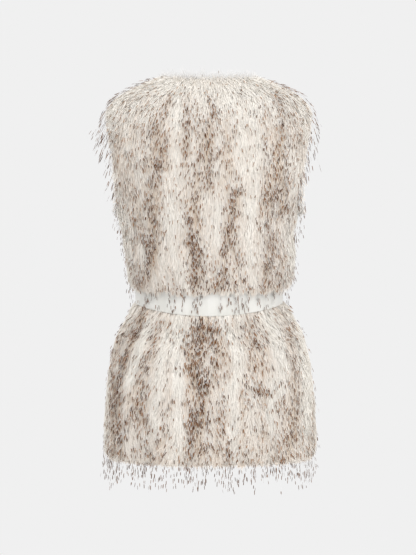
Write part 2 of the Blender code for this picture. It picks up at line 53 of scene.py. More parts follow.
# The form, as the vest's own sections give it. squareness is the exponent of each half's superellipse.
SECTION_COLUMNS = ("height", "half_width", "back_depth", "front_depth", "squareness")
SECTIONS = (
    (0.014, 0.062, 0.048, 0.034, 2.0),
    (0.003, 0.076, 0.056, 0.042, 2.0),
    (-0.005, 0.090, 0.062, 0.050, 2.0),
    (-0.017, 0.118, 0.070, 0.058, 2.05),
    (-0.031, 0.145, 0.078, 0.067, 2.1),
    (-0.042, 0.161, 0.083, 0.073, 2.15),
    (-0.055, 0.170, 0.087, 0.079, 2.2),
    (-0.090, 0.178, 0.096, 0.093, 2.3),
    (-0.130, 0.177, 0.102, 0.105, 2.3),
    (-0.180, 0.167, 0.103, 0.115, 2.3),
    (-0.225, 0.150, 0.100, 0.118, 2.3),
    (-0.272, 0.137, 0.095, 0.114, 2.25),
    (-0.320, 0.1315, 0.090, 0.106, 2.2),
    (-0.360, 0.1285, 0.086, 0.098, 2.15),
    (-0.3825, 0.1265, 0.084, 0.094, 2.15),
    (-0.405, 0.1285, 0.086, 0.095, 2.15),
    (-0.440, 0.141, 0.095, 0.098, 2.2),
    (-0.480, 0.155, 0.106, 0.102, 2.25),
    (-0.530, 0.166, 0.115, 0.105, 2.3),
    (-0.600, 0.173, 0.120, 0.108, 2.3),
    (-0.660, 0.175, 0.122, 0.109, 2.3),
    (-0.720, 0.174, 0.122, 0.109, 2.3),
)
# Soft folds of the cloth: waves round the whole vest, depth, height where they are deepest, spread
FOLDS = ((11, 0.0050, -0.720, 0.150), (9, 0.0022, -0.250, 0.075))

HEM = -0.690
NECK_EDGE = 0.003
SHOULDER_TIP = -0.055
UNDERARM = -0.225
ARMHOLE_SHARE = 0.235
NECK_HALF_WIDTH = 0.071
V_POINT = -0.130
FRONT_GAP = 0.0006

BELT_CENTRE = -0.3825
BELT_HALF = 0.023
BELT_THICKNESS = 0.003
BELT_INSIDE = 0.0075
BELT_TILT = 0.012
BELT_SAG = 0.006
LAP_STEP = 0.0034
DIP_REACH = 0.16
UPRIGHT_HALF = 0.027
UPRIGHT_EASE = 0.080
LIP_SIDE = 0.024
LIP_TILT = 0.003
LIP_BOW = -0.020

PILE = 0.022
SHOULDER_PILE = 0.0165
CLOTH_INSIDE = 0.0004
CLOTH_OUTSIDE = 0.0062

# The grid on which the form is sampled
GRID_LOW = -0.748
GRID_STEP = 0.002
GRID_ROWS = 382
QUARTER = 96
RING = 4 * QUARTER
NOMINAL_QUARTER = 0.23

# Flat areas of the cut, in square metres, and the width and length that each is cut from
BACK_CUT = (0.50, 0.71, 0.30)
FRONT_CUT = (0.25, 0.71, 0.145)

# For each kind of hair: how many a square metre, length and how it varies, width, distance off the
# form at root, middle and tip, pull to its tuft, the degrees by which it fans out and twists, how far
# along it its colour is read, its tone (base, lean to the streaks, spread), and at its points from
# root to tip their levels on the pile map and the shares of its width
Hair = namedtuple("Hair", "density length vary width root body tip pull fan twist shown tone levels taper")
HAIR = {
    "wool": Hair(
        150e3, 0.027, 0.30, 0.0017, 0.0045, 0.0165, 0.0182, 0.25, 9.0, 18.0, 0.70,
        (0.135, 0.11, 0.09), (0.01, 0.5, 0.99), (0.75, 1.0),
    ),
    "fine": Hair(
        205e3, 0.034, 0.30, 0.0009, 0.0060, 0.0185, 0.0205, 0.30, 9.0, 28.0, 0.70,
        (0.135, 0.15, 0.13), (0.01, 0.5, 0.99), (0.8, 1.0),
    ),
    "guard": Hair(
        84e3, 0.040, 0.24, 0.00124, 0.0080, 0.0218, 0.0245, 0.10, 7.0, 18.0, 0.92,
        (0.75, 0.03, 0.23), (0.01, 0.78, 0.88, 0.95, 0.99), (0.20, 0.30, 1.0, 0.95),
    ),
}
EDGE_TAPER = (0.10, 0.14, 1.0, 0.95)
# How far the points of a guard hair lie from its tip, and the least share of its length at each
FROM_TIP = (1.0, 0.0084, 0.0062, 0.0021, 0.0)
LEAST_STATIONS = (0.0, 0.10, 0.25, 0.60, 1.0)
# Steps across and down of the lattice of roots
LATTICE = (0.7548776662, 0.5698402910)
TUFT_SEED = 71
TUFT_ACROSS = 0.0135
TUFT_DOWN = 0.024
UV_HALF_WIDTH = 0.0025
# Tones from this one on are guard hairs, and the one just below it is the plainest white
GUARD_TONE = 0.75
PALE_TONE = 0.728
# Seed, wave across and wave down of the ripples in the hair's tone and in its direction
COARSE_GRAIN = (31, 0.055, 0.20)
FINE_GRAIN = (33, 0.024, 0.34)
FLOW = (37, 0.16, 0.22)
# Chance of a guard hair and its lean to the streaks, on the bodice and on the skirt
GUARD_CHANCES = (((0.20,), (0.52,)), ((0.18,), (0.55,)))
# Share of the guard hairs kept where they would pass the end of the dense hair
KEPT_PAST_END = 0.45
# Raise of the dense hair's end at the lip and at the hem, the shortest hair, how far off the form
# hair behind the belt may stand, and the share of its length kept by hair that ends over an armhole
LIP_RAISE = 0.002
HEM_RAISE = 0.004
SHORTEST_HAIR = 0.0045
BEHIND_BELT = 0.0045
OVER_ARMHOLE = 0.50
# Fullness of the pile at heights above the belt's centre
LOFT_LEVELS = (-0.085, -0.056, -0.038, -0.029, -0.0245, -0.0235, 0.000, 0.018, 0.045)
LOFT_SHARES = (1.00, 1.06, 1.08, 0.86, 0.50, 0.76, 0.78, 1.02, 1.00)

GUARD_WIDTHS = (0.0009, 0.0013)
HEM_STRINGS = 120
HAIRS_A_HEM_STRING = 11
WAIST_STRINGS = 110
HAIRS_A_WAIST_STRING = 9
# For the armhole on each side: guard hairs, lean off the form and outwards, shortest length
ARMHOLE_GUARDS = {1: (220, 0.40, 0.16, 0.012), -1: (150, 0.20, 0.04, 0.026)}
# Hair at the neck: how many, depth of the band, furthest off the form, widths and tones
NECK_SETS = (
    (8000, 0.008, 0.016, (0.0002, 0.0004), (0.726, 0.730)),
    (6500, 0.020, 0.014, (0.0005, 0.0010), (0.05, 0.15)),
    (34, 0.009, 0.012, (0.0009, 0.0013), (0.78, 0.95)),
)

BODICE = (BELT_CENTRE + BELT_HALF + 0.0012, NECK_EDGE)
SKIRT = (HEM + 0.0005, BELT_CENTRE - BELT_HALF + 0.0080)
# The zones of fur round the vest, each with a piece above the belt and a piece below it
FUR_TURNS = (("back", (-1.0, 1.0)), ("left", (1.0, 2.0)), ("right", (2.0, 3.0)))
FUR_HEIGHTS = (("_bodice_fur", BODICE), ("_skirt_fur", SKIRT))

# Colour streaks: strength, half width, then height and across of each point down the streak, in
# millimetres. Positive strength is brown tips and tan hair, negative is plain white hair.
BACK_STREAKS = (
    (0.1, 10, -63, 180, -104, 169, -141, 169, -178, 163, -214, 155, -255, 157, -288, 145, -328, 147, -369,
     134),
    (0.6, 10, -45, 100, -103, 98, -154, 108),
    (0.8, 8, -40, 73, -103, 76, -140, 89, -180, 95),
    (1.15, 10, -198, 99, -213, 100, -285, 102, -325, 105, -363, 117, -388, 121),
    (1.05, 7, -27, 42, -107, 40, -148, 43),
    (1.15, 9, -38, -5, -103, -2, -186, 0),
    (0.35, 8, -67, 16, -139, 20),
    (1.1, 10, -161, 20, -211, 24, -319, 24, -377, 23),
    (0.45, 8, -312, 13, -373, 9),
    (0.95, 10, -193, -52, -247, -38, -283, -32, -323, -25, -373, -20),
    (0.45, 7, -316, -52, -374, -50),
    (0.8, 9, -52, -130, -122, -130, -186, -135, -225, -137),
    (0.95, 10, -165, -107, -213, -109, -286, -109, -325, -105, -377, -109),
    (0.45, 8, -56, -156, -115, -155),
    (0.35, 8, -346, -135, -383, -139),
    (-0.45, 10, -27, 56, -103, 62, -148, 60, -212, 65, -324, 65, -370, 53),
    (-0.6, 8, -314, 93, -372, 91),
    (-0.7, 9, -215, -12, -294, -11),
    (-0.55, 13, -24, -78, -103, -74, -143, -72, -179, -76, -215, -72, -324, -74, -368, -87),
    (-0.6, 9, -243, -145, -332, -145),
    (-0.6, 8, -126, -166, -196, -160),
    (1.2, 7, -455, 161, -462, 163, -493, 174, -531, 180, -568, 176, -605, 180, -688, 182),
    (1.6, 6, -425, 123, -459, 136, -490, 151, -528, 161, -566, 167, -640, 165, -683, 159),
    (0.65, 13, -456, 100, -489, 96, -524, 121, -561, 124, -605, 126, -615, 124, -620, 111),
    (1.35, 14, -416, 16, -452, 13, -485, 29, -517, 24, -553, 18, -589, 15, -625, 25, -668, 11),
    (1.0, 10, -449, -7, -481, -12, -521, -9, -557, 4),
    (0.5, 8, -593, -16, -625, -16, -668, -14),
    (0.6, 8, -465, -86, -470, -90, -485, -98, -529, -105),
    (0.45, 9, -557, -94, -594, -94, -634, -100),
    (0.6, 8, -450, -147, -460, -145, -490, -147, -528, -155, -565, -158, -602, -158, -642, -155, -680, -141),
    (0.45, 7, -588, -194, -644, -190, -688, -190),
    (0.25, 9, -454, -63, -520, -80, -555, -63, -591, -65, -627, -56, -671, -72),
    (0.15, 8, -560, -124, -598, -128, -634, -126, -679, -137),
    (0.25, 10, -626, 85, -673, 89),
    (-1.3, 9, -421, 51, -453, 51, -486, 60, -522, 60, -562, 58),
    (-0.5, 8, -587, 58, -630, 53),
    (-1.6, 11, -428, -109, -458, -120, -492, -130, -529, -139),
    (-0.6, 9, -562, -137, -581, -109, -599, -107, -636, -117),
    (-1.5, 8, -443, 115, -488, 130, -526, 142, -549, 149),
    (-0.6, 9, -455, 87, -560, 87, -595, 104, -634, 100),
    (-0.6, 11, -424, -30, -453, -29, -482, -47, -518, -54, -554, -47, -590, -50, -630, -45),
    (-0.7, 9, -490, -176, -531, -178, -569, -182, -605, -178, -646, -176),
)
FRONT_STREAKS = (
    (1.0, 13, -60, 118, -200, 122, -360, 104),
    (0.8, 12, -60, 70, -200, 66, -360, 58),
    (0.9, 12, -120, 18, -240, 22, -370, 16),
    (-1.0, 12, 0, 94, -200, 94, -370, 82),
    (-0.8, 11, -100, 44, -370, 38),
    (-0.6, 10, -200, 140, -370, 122),
    (1.0, 15, -425, 104, -500, 126, -690, 138),
    (1.0, 15, -425, 28, -560, 32, -690, 30),
    (0.6, 11, -430, 66, -560, 82, -690, 90),
    (-1.1, 11, -425, 86, -520, 104, -620, 112),
    (-0.9, 11, -425, 50, -560, 56, -690, 60),
    (-0.7, 10, -425, 6, -690, 8),
)

# The picture's frame: 416 by 555, from behind, a little above the waist
CAMERA_ELEVATION = math.radians(4.5)
CAMERA_DISTANCE = 3.7
CAMERA_AIM = (0.002, 0.0, -0.360)
FRAME_HEIGHT = 1.0323
SENSOR = 36.0


def paint(red, green, blue):
    """A colour as a shader wants it, from the usual 0 to 255 numbers."""
    share = np.array([red, green, blue]) / 255.0
    linear = np.where(share <= 0.04045, share / 12.92, ((share + 0.055) / 1.055) ** 2.4)
    return (*[float(value) for value in linear], 1.0)


# The form


def smooth(t):
    """0 below 0 and 1 above 1, with the cubic 3t^2 - 2t^3 between."""
    t = np.clip(t, 0.0, 1.0)
    return t * t * (3.0 - 2.0 * t)


def form_height(height):
    """The level whose section is used: behind the belt the form stands upright."""
    above = height - BELT_CENTRE
    past = np.maximum(0.0, np.abs(above) - UPRIGHT_HALF) * UPRIGHT_EASE / (UPRIGHT_EASE - UPRIGHT_HALF)
    return np.where(np.abs(above) >= UPRIGHT_EASE, height, BELT_CENTRE + np.copysign(past, above))


def section_value(column, height):
    """A column of the section table at many heights, by cubic curves through the rows."""
    table = np.array(SECTIONS[::-1])
    known = table[:, 0]
    values = table[:, SECTION_COLUMNS.index(column)]
    slopes = np.gradient(values, known)
    height = np.clip(form_height(height), known[0], known[-1])
    i = np.clip(np.searchsorted(known, height, side="right") - 1, 0, len(known) - 2)
    span = known[i + 1] - known[i]
    t = (height - known[i]) / span
    start = (2 * t**3 - 3 * t**2 + 1) * values[i] + (t**3 - 2 * t**2 + t) * span * slopes[i]
    end = (3 * t**2 - 2 * t**3) * values[i + 1] + (t**3 - t**2) * span * slopes[i + 1]
    return start + end


def quarter_section(half, heights):
    """x and y of a quarter of every section, at even shares of its arc, from middle to side.

    x = half_width sin(a)^p and y = depth cos(a)^p with p = 2 / squareness, and soft folds push
    each point out by a sum of depth cos(waves angle), fading with height.
    """
    a = np.linspace(0.0, math.pi / 2, 241)[None, :]
    heights = heights[:, None]
    power = 2.0 / section_value("squareness", heights)
    depth = section_value("back_depth" if half > 0 else "front_depth", heights)
    x = section_value("half_width", heights) * np.sin(a) ** power
    y = half * depth * np.cos(a) ** power
    y[:, -1] = 0.0
    angle = np.arctan2(x, y)
    push = np.zeros_like(x)
    for waves, deep, deepest, spread in FOLDS:
        push += deep * np.exp(-(((heights - deepest) / spread) ** 2)) * np.cos(waves * angle)
    scale = 1.0 + push / np.hypot(x, y)
    x, y = x * scale, y * scale
    length = np.cumsum(np.hypot(np.diff(x, axis=1), np.diff(y, axis=1)), axis=1)
    length = np.concatenate([np.zeros((len(x), 1)), length], axis=1)
    even = np.linspace(0.0, 1.0, QUARTER + 1)
    shares = length / length[:, -1:]
    return np.array([[np.interp(even, s, v) for s, v in zip(shares, values)] for values in (x, y)])


def share_of(turn):
    """How far a place is from the middle of its half, 0, to the side, 1."""
    return np.abs(np.mod(turn + 1.0, 2.0) - 1.0)


def half_of(turn):
    """1 on the back and -1 on the front."""
    return np.where(np.cos(np.asarray(turn) * math.pi / 2) >= 0.0, 1.0, -1.0)


def facing(turn):
    """1 at the middle of the back, 0 at the sides and -1 at the middle of the front."""
    return half_of(turn) * np.cos(share_of(turn) * math.pi / 2)


def make_form():
    """Points, outward normals and the two scales of the form, on a grid of heights by turns."""
    heights = GRID_LOW + GRID_STEP * np.arange(GRID_ROWS)
    back = quarter_section(1, heights)
    front = quarter_section(-1, heights)
    quarters = (
        (back[:, :, :-1], 1.0),
        (front[:, :, :0:-1], 1.0),
        (front[:, :, :-1], -1.0),
        (back[:, :, :0:-1], -1.0),
    )
    x = np.concatenate([grid[0] * side for grid, side in quarters], axis=1)
    y = np.concatenate([grid[1] for grid, _ in quarters], axis=1)
    turn = np.arange(RING) / QUARTER
    c = facing(turn)
    dip = -BELT_TILT * c - BELT_SAG * c**2
    away = np.maximum(0.0, np.abs(heights - BELT_CENTRE) - BELT_HALF - 0.035) / (DIP_REACH - 0.03)
    z = heights[:, None] + dip[None, :] * (1.0 - smooth(away))[:, None]
    points = np.stack([x, y, z], axis=-1)
    across = (np.roll(points, -1, axis=1) - np.roll(points, 1, axis=1)) * (QUARTER / 2)
    up = np.gradient(points, GRID_STEP, axis=0)
    above = heights - BELT_CENTRE
    upright = smooth((above + 0.095) / 0.02) * smooth((0.075 - above) / 0.02)
    upright = upright[:, None, None]
    flat = across * (1.0, 1.0, 0.0)
    normal = np.cross(up * (1 - upright) - DOWN * upright, across + (flat - across) * upright)
    normal /= np.linalg.norm(normal, axis=-1, keepdims=True)
    scales = np.stack([np.linalg.norm(across, axis=-1), np.linalg.norm(up, axis=-1)], axis=-1)
    return np.concatenate([points, normal, scales], axis=-1)


FORM = make_form()


def read_form(turn, height):
    """Bilinear values of the form's grid: point, normal and scales in one array of eight."""
    row = np.clip((height - GRID_LOW) / GRID_STEP, 0.0, GRID_ROWS - 1.001)
    column = np.mod(turn, 4.0) * QUARTER
    i = row.astype(int)
    j = column.astype(int)
    a = (row - i)[..., None]
    b = (column - j)[..., None]
    j = j % RING
    k = (j + 1) % RING
    low = FORM[i, j] * (1 - b) + FORM[i, k] * b
    high = FORM[i + 1, j] * (1 - b) + FORM[i + 1, k] * b
    return low * (1 - a) + high * a


def place(turn, height, out):
    """World points at turn, height and distance off the form, and the normals there."""
    found = read_form(turn, height)
    normal = found[..., 3:6]
    normal = normal / np.linalg.norm(normal, axis=-1, keepdims=True)
    return found[..., 0:3] + normal * np.asarray(out)[..., None], normal


def armhole_edge(height):
    """The share at which the armhole's oval ends the cloth."""
    t = (height - (SHOULDER_TIP + UNDERARM) / 2) / ((SHOULDER_TIP - UNDERARM) / 2)
    return 1.0 - ARMHOLE_SHARE * np.sqrt(np.maximum(0.0, 1.0 - t * t))


def neck_half_width(height):
    """Half the width of the V between the fronts."""
    depth = np.clip((NECK_EDGE - height) / (NECK_EDGE - V_POINT), 0.0, 1.0)
    return np.maximum(FRONT_GAP, NECK_HALF_WIDTH * (1.0 - depth**1.15))


def lip_height(turn):
    """The height, in the form's own terms, at which the bodice's dense hair ends over the belt."""
    c = facing(turn)
    return BELT_CENTRE + BELT_HALF - (LIP_SIDE + LIP_TILT * c + LIP_BOW * c**2)


def over_belt(turn):
    """The least distance off the form of a hair that hangs over the belt, its lap included."""
    on_lap = smooth((-facing(turn) - 0.70) / 0.15)
    return BELT_INSIDE + BELT_THICKNESS + 0.0009 + 0.0036 * on_lap


# Meshes


def add_piece(name, points, faces, uv, material):
    """A mesh from arrays of points and faces, placed in the scene and riding on the vest."""
    mesh = bpy.data.meshes.new(name)
    size = faces.shape[1]
    mesh.vertices.add(len(points))
    mesh.vertices.foreach_set("co", points.astype(np.float32).ravel())
    mesh.loops.add(faces.size)
    mesh.loops.foreach_set("vertex_index", faces.astype(np.int32).ravel())
    mesh.polygons.add(len(faces))
    mesh.polygons.foreach_set("loop_start", np.arange(0, faces.size, size, dtype=np.int32))
    mesh.update(calc_edges=True)
    if uv is not None:
        for map_name in ("pile", "OFBake"):
            layer = mesh.uv_layers.new(name=map_name)
            layer.data.foreach_set("uv", uv[faces.ravel()].astype(np.float32).ravel())
    mesh.shade_smooth()
    mesh.materials.append(material)
    piece = bpy.data.objects.new(name, mesh)
    bpy.context.scene.collection.objects.link(piece)
    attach(piece, "root")
    return piece


def closed_shell(inner, outer):
    """Points and faces of a wall between two grids of the same size, closed round its four edges."""
    rows, columns = inner.shape[:2]
    under = rows * columns
    points = np.concatenate([outer.reshape(-1, 3), inner.reshape(-1, 3)])
    index = np.arange(under).reshape(rows, columns)
    corners = (index[:-1, :-1], index[1:, :-1], index[1:, 1:], index[:-1, 1:])
    outside = np.stack(corners, axis=-1).reshape(-1, 4)
    inside = outside[:, (0, 3, 2, 1)] + under
    rim = np.concatenate([index[0], index[1:, -1], index[-1, -2::-1], index[-2:0:-1, 0]])
    after = np.roll(rim, -1)
    wall = np.stack([rim, after, after + under, rim + under], axis=1)
    return points, np.concatenate([outside, wall, inside]), len(inside)


# Cloth shells

BACK_COLUMNS = 65
FRONT_COLUMNS = 33
CLOTH_ROWS = 96
# Each panel: name, 1 for the back or -1 for the front, 1 for the left or -1, columns, node and cut
PANELS = (
    ("back_cloth", 1, 1, BACK_COLUMNS, "back_panel", BACK_CUT),
    ("left_front_cloth", -1, 1, FRONT_COLUMNS, "front_panel_left", FRONT_CUT),
    ("right_front_cloth", -1, -1, FRONT_COLUMNS, "front_panel_right", FRONT_CUT),
)


def cloth_heights():
    """Rows from the neck to the hem, closer together over the shoulders."""
    even = np.linspace(0.0, 1.0, CLOTH_ROWS)
    return NECK_EDGE + (HEM - NECK_EDGE) * (0.35 * even**1.8 + 0.65 * even)


def cloth_turns(half, side, heights, columns):
    """Columns of a panel: even ones, drawn in towards the armholes, and starting at the V."""
    edge = armhole_edge(heights)[:, None]
    if half > 0:
        even = np.linspace(-1.0, 1.0, columns)[None, :]
        return even * (1.0 - (1.0 - edge) * np.abs(even))
    share = np.linspace(0.0, 1.0, QUARTER + 1)
    width = neck_half_width(heights)
    rows = FORM[np.clip(((heights - GRID_LOW) / GRID_STEP).round().astype(int), 0, GRID_ROWS - 1)]
    x = np.abs(rows[:, 2 * QUARTER - np.arange(QUARTER + 1), 0])
    start = np.array([np.interp(w, row, share) for w, row in zip(width, x)])[:, None]
    even = np.linspace(0.0, 1.0, columns)[None, :]
    drawn_in = (1.0 - edge) / (1.0 - start)
    shares = start + (1.0 - start) * even * (1.0 - drawn_in * even)
    return 2.0 - shares if side > 0 else 2.0 + shares


def make_cloth(name, half, side, columns, materials, node):
    """One panel as a thin closed shell on the form, with the backing inside and short wool outside.

    The outside stands off the form by a constant, less towards the rounded edges, plus shallow
    furrows sin(across) sin(down).
    """
    heights = cloth_heights()
    turns = cloth_turns(half, side, heights, columns)
    level = np.broadcast_to(heights[:, None], turns.shape)
    ease = np.linspace(0.0, 1.0, columns)
    edge = 0.45 + 0.55 * smooth(np.minimum(ease, 1.0 - ease) * columns / 2.5)[None, :]
    furrows = 0.0009 * np.sin(turns * 60.0) * np.sin(level * 210.0 + turns * 9.0)
    outer = place(turns, level, (CLOTH_OUTSIDE + furrows) * edge)[0]
    inner = place(turns, level, CLOTH_INSIDE + 0.0 * turns)[0]
    for grid in (outer, inner):
        grid[..., 1] = np.maximum(grid[..., 1], 0.0002) if half > 0 else np.minimum(grid[..., 1], -0.0002)
        if half < 0:
            grid[..., 0] = side * np.maximum(side * grid[..., 0], FRONT_GAP)
    points, faces, inside_count = closed_shell(inner, outer)
    if side < 0 or half > 0:
        faces = faces[:, ::-1]
    piece = add_piece(name, points, faces, None, materials[0])
    piece.data.materials.append(materials[1])
    slots = np.zeros(len(faces), dtype=np.int32)
    slots[-inside_count:] = 1
    piece.data.polygons.foreach_set("material_index", slots)
    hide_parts(node)


# Fur


def ripple(x, y, seed, wave_x, wave_y):
    """Smooth noise from -1 to 1: a sum of nine sines with random slants and phases."""
    rng = np.random.default_rng(seed)
    total = np.zeros(np.shape(x))
    for _ in range(9):
        a, b, phase = rng.uniform(0.5, 1.5), rng.uniform(-1.2, 1.2), rng.uniform(0.0, 2 * math.pi)
        total = total + np.sin(2 * math.pi * (a * x / wave_x + b * y / wave_y) + phase)
    return np.clip(total / 4.0, -1.0, 1.0)


def on_cloth(turn, height):
    """Whether a place is on cloth, and not in an armhole or in the V of the neck."""
    beside_arm = (height < SHOULDER_TIP) & (height > UNDERARM)
    outside_armhole = share_of(turn) < np.where(beside_arm, armhole_edge(height), 2.0)
    x = np.abs(read_form(turn, height)[:, 0])
    in_neck = (half_of(turn) < 0) & (x < neck_half_width(height) + 0.001)
    return outside_armhole & ~in_neck


def scatter(rng, density, turns, heights):
    """Roots spread evenly over a zone: a lattice, thinned by the area of cloth it covers."""
    turn_low, turn_high = turns
    low, high = heights
    probe = read_form(*np.meshgrid(np.linspace(turn_low, turn_high, 60), np.linspace(low, high, 80)))
    most = float((probe[..., 6] * probe[..., 7]).max())
    count = int(density * most * (turn_high - turn_low) * (high - low))
    n = np.arange(count) + rng.uniform(0.0, 100.0)
    turn = turn_low + (turn_high - turn_low) * np.mod(n * LATTICE[0], 1.0)
    height = low + (high - low) * np.mod(n * LATTICE[1], 1.0)
    found = read_form(turn, height)
    kept = (rng.random(count) * most < found[:, 6] * found[:, 7]) & on_cloth(turn, height)
    return turn[kept], height[kept]


def nearest_tuft(turn, height):
    """The centre of the tuft that each root belongs to, and four random numbers of that tuft.

    Tufts are cells of a jittered grid: each root takes the closest of the nine centres round it.
    """
    table = np.random.default_rng(TUFT_SEED).random((256, 256, 6))
    x = turn * NOMINAL_QUARTER / TUFT_ACROSS
    y = height / TUFT_DOWN
    best = np.full(len(turn), 1e9)
    centre = np.zeros((len(turn), 2))
    numbers = np.zeros((len(turn), 4))
    for dx in (-1, 0, 1):
        for dy in (-1, 0, 1):
            i = np.floor(x).astype(int) + dx
            j = np.floor(y).astype(int) + dy
            cell = table[i % 256, j % 256]
            cx = i + cell[:, 0]
            cy = j + cell[:, 1]
            distance = np.hypot(x - cx, y - cy)
            closer = distance < best
            best = np.where(closer, distance, best)
            places = np.stack([cx * TUFT_ACROSS / NOMINAL_QUARTER, cy * TUFT_DOWN], axis=1)
            centre[closer] = places[closer]
            numbers[closer] = cell[closer, 2:]
    return centre, numbers


def streaks(turn, height):
    """How dark the hair is at a place: streak strengths, each fading off its line as exp(-d^2)."""
    point = read_form(turn, height)
    x = point[..., 0] + point[..., 3] * PILE
    z = point[..., 2]
    on_back = half_of(turn) > 0
    total = np.zeros(np.shape(turn))
    for chart, here, across in ((BACK_STREAKS, on_back, x), (FRONT_STREAKS, ~on_back, np.abs(x))):
        for strength, half_width, *line in chart:
            levels, places = np.array(line).reshape(-1, 2)[::-1].T / 1000.0
            wander = 0.002 * ripple(x, z, abs(line[-1]) + 5, 0.30, 0.10)
            off = (across + wander - np.interp(z, levels, places)) / half_width * 1000.0
            inside = smooth((z - levels[0] + 0.016) / 0.02) * smooth((levels[-1] + 0.016 - z) / 0.02)
            total += np.where(here, strength * np.exp(-off * off) * inside, 0.0)
    return total


def nape(turn, height):
    """How plain and pale the hair is near the neck edge, most of all at its middle, fading down."""
    x = np.abs(read_form(turn, height)[..., 0])
    return smooth((height + 0.032) / 0.030) * smooth((0.105 - x) / 0.035)


def near_top(height, low, span):
    """0 below a height and 1 from a span above it."""
    return smooth((height - low) / span)


def near_side(turn, low, span):
    """0 towards the middle of a half and 1 at its side."""
    return smooth((share_of(turn) - low) / span)


def loft(height):
    """How full the pile stands at a height: low over the shoulders, full just below the belt."""
    shoulders = SHOULDER_PILE + (PILE - SHOULDER_PILE) * np.clip((-height - 0.02) / 0.09, 0.0, 1.0)
    return shoulders / PILE * np.interp(height - BELT_CENTRE, LOFT_LEVELS, LOFT_SHARES)


def lean_side(turn, height):
    """The pile is a little fuller on the wearer's left above the belt, and on the right at it and below."""
    across = np.sin(np.asarray(turn) * math.pi / 2)
    bodice = height > BELT_CENTRE
    lip = 0.50 * smooth((-across - 0.55) / 0.35) * smooth((-height - 0.275) / 0.05) * bodice
    return 1.0 + 0.10 * across * np.where(bodice, smooth((-height - 0.14) / 0.06), -1.0) + lip


def stations_of(kind, distance, rng, tip_scale=1.0):
    """How far along each hair its points lie. The length of the dark tip doesn't follow the hair's."""
    if kind != "guard":
        return np.array([[0.0, 0.5, 1.0]])
    tip = np.array(FROM_TIP)[None, :] * (tip_scale * rng.uniform(0.7, 1.35, len(distance)))[:, None]
    t = np.maximum(1.0 - tip / distance[:, None], LEAST_STATIONS)
    t[:, 0] = 0.0
    return t


def comb(turn, height, distance, swing, t):
    """Paths that run down the form at an angle: each short step is divided by the form's scales."""
    turns, heights = [turn], [height]
    for k in range(t.shape[1] - 1):
        for _ in range(2):
            step = distance * (t[:, k + 1] - t[:, k]) / 2
            scales = read_form(turn, height)[:, 6:8]
            turn = turn + step * np.sin(swing) / scales[:, 0]
            height = height - step * np.cos(swing) / scales[:, 1]
        turns.append(turn)
        heights.append(height)
    return np.stack(turns, axis=1), np.stack(heights, axis=1)


def unit(vectors):
    """The vectors at length 1."""
    return vectors / (np.linalg.norm(vectors, axis=-1, keepdims=True) + 1e-12)


def ribbons(path, normals, widths, twist, tone, levels, root_v=0.01):
    """Tapered ribbons along paths: pairs of points either side of the path, and one at the tip.

    The side runs across the path and the normal, turned about the path by the twist. On the pile
    map a ribbon runs through the levels, none below root_v; below half way up the map the fur's
    colour carries painted root shade.
    """
    count, length = path.shape[:2]
    along = unit(np.gradient(path, axis=1))
    side = unit(np.cross(along, normals))
    lift = np.cross(side, along)
    side = side * np.cos(twist)[:, None, None] + lift * np.sin(twist)[:, None, None]
    half = side[:, :-1] * widths[:, :, None] / 2
    pairs = np.stack([path[:, :-1] - half, path[:, :-1] + half], axis=2).reshape(count, -1, 3)
    points = np.concatenate([pairs, path[:, -1:]], axis=1)
    each = 2 * (length - 1) + 1
    faces = []
    for a in range(0, 2 * (length - 2), 2):
        faces += [(a, a + 3, a + 2), (a, a + 1, a + 3)]
    faces.append((each - 3, each - 2, each - 1))
    faces = (np.arange(count)[:, None, None] * each + np.array(faces)[None]).reshape(-1, 3)
    v = np.maximum(np.array(levels)[None, :], np.broadcast_to(root_v, count)[:, None])
    u = np.stack([tone - UV_HALF_WIDTH, tone + UV_HALF_WIDTH], axis=1)
    uv = np.zeros((count, each, 2))
    uv[:, :-1, 0] = np.tile(u, (1, length - 1))
    uv[:, :-1, 1] = np.repeat(v[:, :-1], 2, axis=1)
    uv[:, -1] = np.stack([tone, v[:, -1]], axis=1)
    return points.reshape(-1, 3), faces, uv.reshape(-1, 2)


def join(parts):
    """Several sets of points, faces and map places as one."""
    points, faces, uvs = zip(*parts)
    starts = np.cumsum([0] + [len(p) for p in points[:-1]])
    faces = np.concatenate([f + s for f, s in zip(faces, starts)])
    return np.concatenate(points), faces, np.concatenate(uvs)


